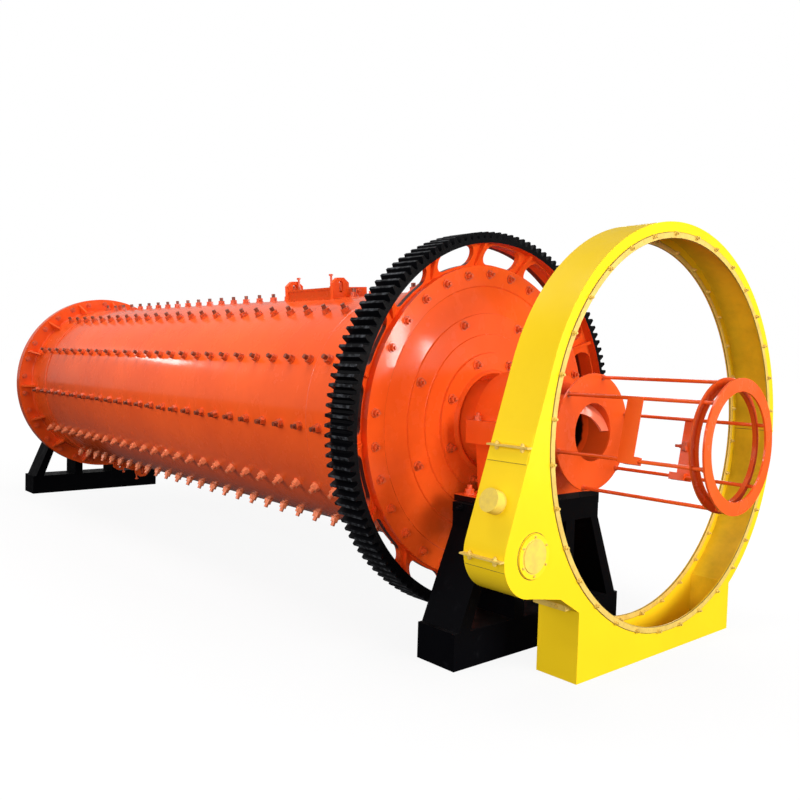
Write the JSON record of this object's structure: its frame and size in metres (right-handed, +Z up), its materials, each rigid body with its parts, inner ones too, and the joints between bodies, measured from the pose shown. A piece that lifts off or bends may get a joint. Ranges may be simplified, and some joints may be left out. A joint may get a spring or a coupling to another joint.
{
  "type": "ball mill",
  "caption": "Horizontal ball mill: bolted drum with a toothed ring gear, turning on trunnion bearings over low stands, with a discharge cage and a gear guard standing apart.",
  "frame": {"origin": "on the floor under the middle of the discharge bearing, below the drum's axis", "axes": "+X along the drum axis from the feed end towards the discharge cage, +Z up"},
  "size_m": [9.394, 3.2737, 2.8048],
  "materials": {
    "orange_paint": "gloss",
    "black_paint": "satin",
    "yellow_paint": "gloss",
    "lip_paint": "satin"
  },
  "bodies": {
    "frame": {"discharge_stand_base": "black_paint", "discharge_stand_legs": "black_paint", "discharge_stand_posts": "black_paint", "discharge_stand_top": "black_paint", "feed_stand_base": "black_paint", "feed_stand_legs": "black_paint", "feed_stand_posts": "black_paint", "feed_stand_top": "black_paint", "discharge_bearing_base": "orange_paint", "discharge_bearing_cap": "orange_paint", "feed_bearing_base": "orange_paint", "feed_bearing_cap": "orange_paint", "guard_upper_front": "yellow_paint", "guard_lower_front": "yellow_paint", "guard_upper_rear": "yellow_paint", "guard_lower_rear": "yellow_paint", "guard_upper_wall": "yellow_paint", "guard_lower_wall": "yellow_paint", "guard_left_split": "yellow_paint", "guard_right_split": "yellow_paint", "guard_lobe_split": "yellow_paint", "pinion_cover": "yellow_paint", "guard_port": "yellow_paint", "guard_front_lip": "lip_paint", "guard_rear_lip": "lip_paint"},
    "drum": {"shell": "orange_paint", "feed_flange": "orange_paint", "discharge_flange": "orange_paint", "feed_head": "orange_paint", "discharge_head": "orange_paint", "feed_trunnion": "orange_paint", "discharge_trunnion": "orange_paint", "discharge_liner": "orange_paint", "spiral_flight": "orange_paint", "gear_web": "orange_paint", "top_manhole_neck": "orange_paint", "top_manhole_cover": "orange_paint", "top_manhole_yokes": "orange_paint", "low_manhole_neck": "orange_paint", "low_manhole_cover": "orange_paint", "low_manhole_yokes": "orange_paint", "cage_disc": "orange_paint", "cage_rods": "orange_paint", "cage_rear_ring": "orange_paint", "cage_front_ring": "orange_paint", "cage_left_strap": "orange_paint", "cage_right_strap": "orange_paint", "gear_rim": "black_paint"}
  },
  "joints": [
    {"name": "drum_spin", "type": "hinge", "parent": "frame", "child": "drum", "pos_m": [0, 0, 1.45], "axis": [1, 0, 0], "continuous": true}
  ]
}
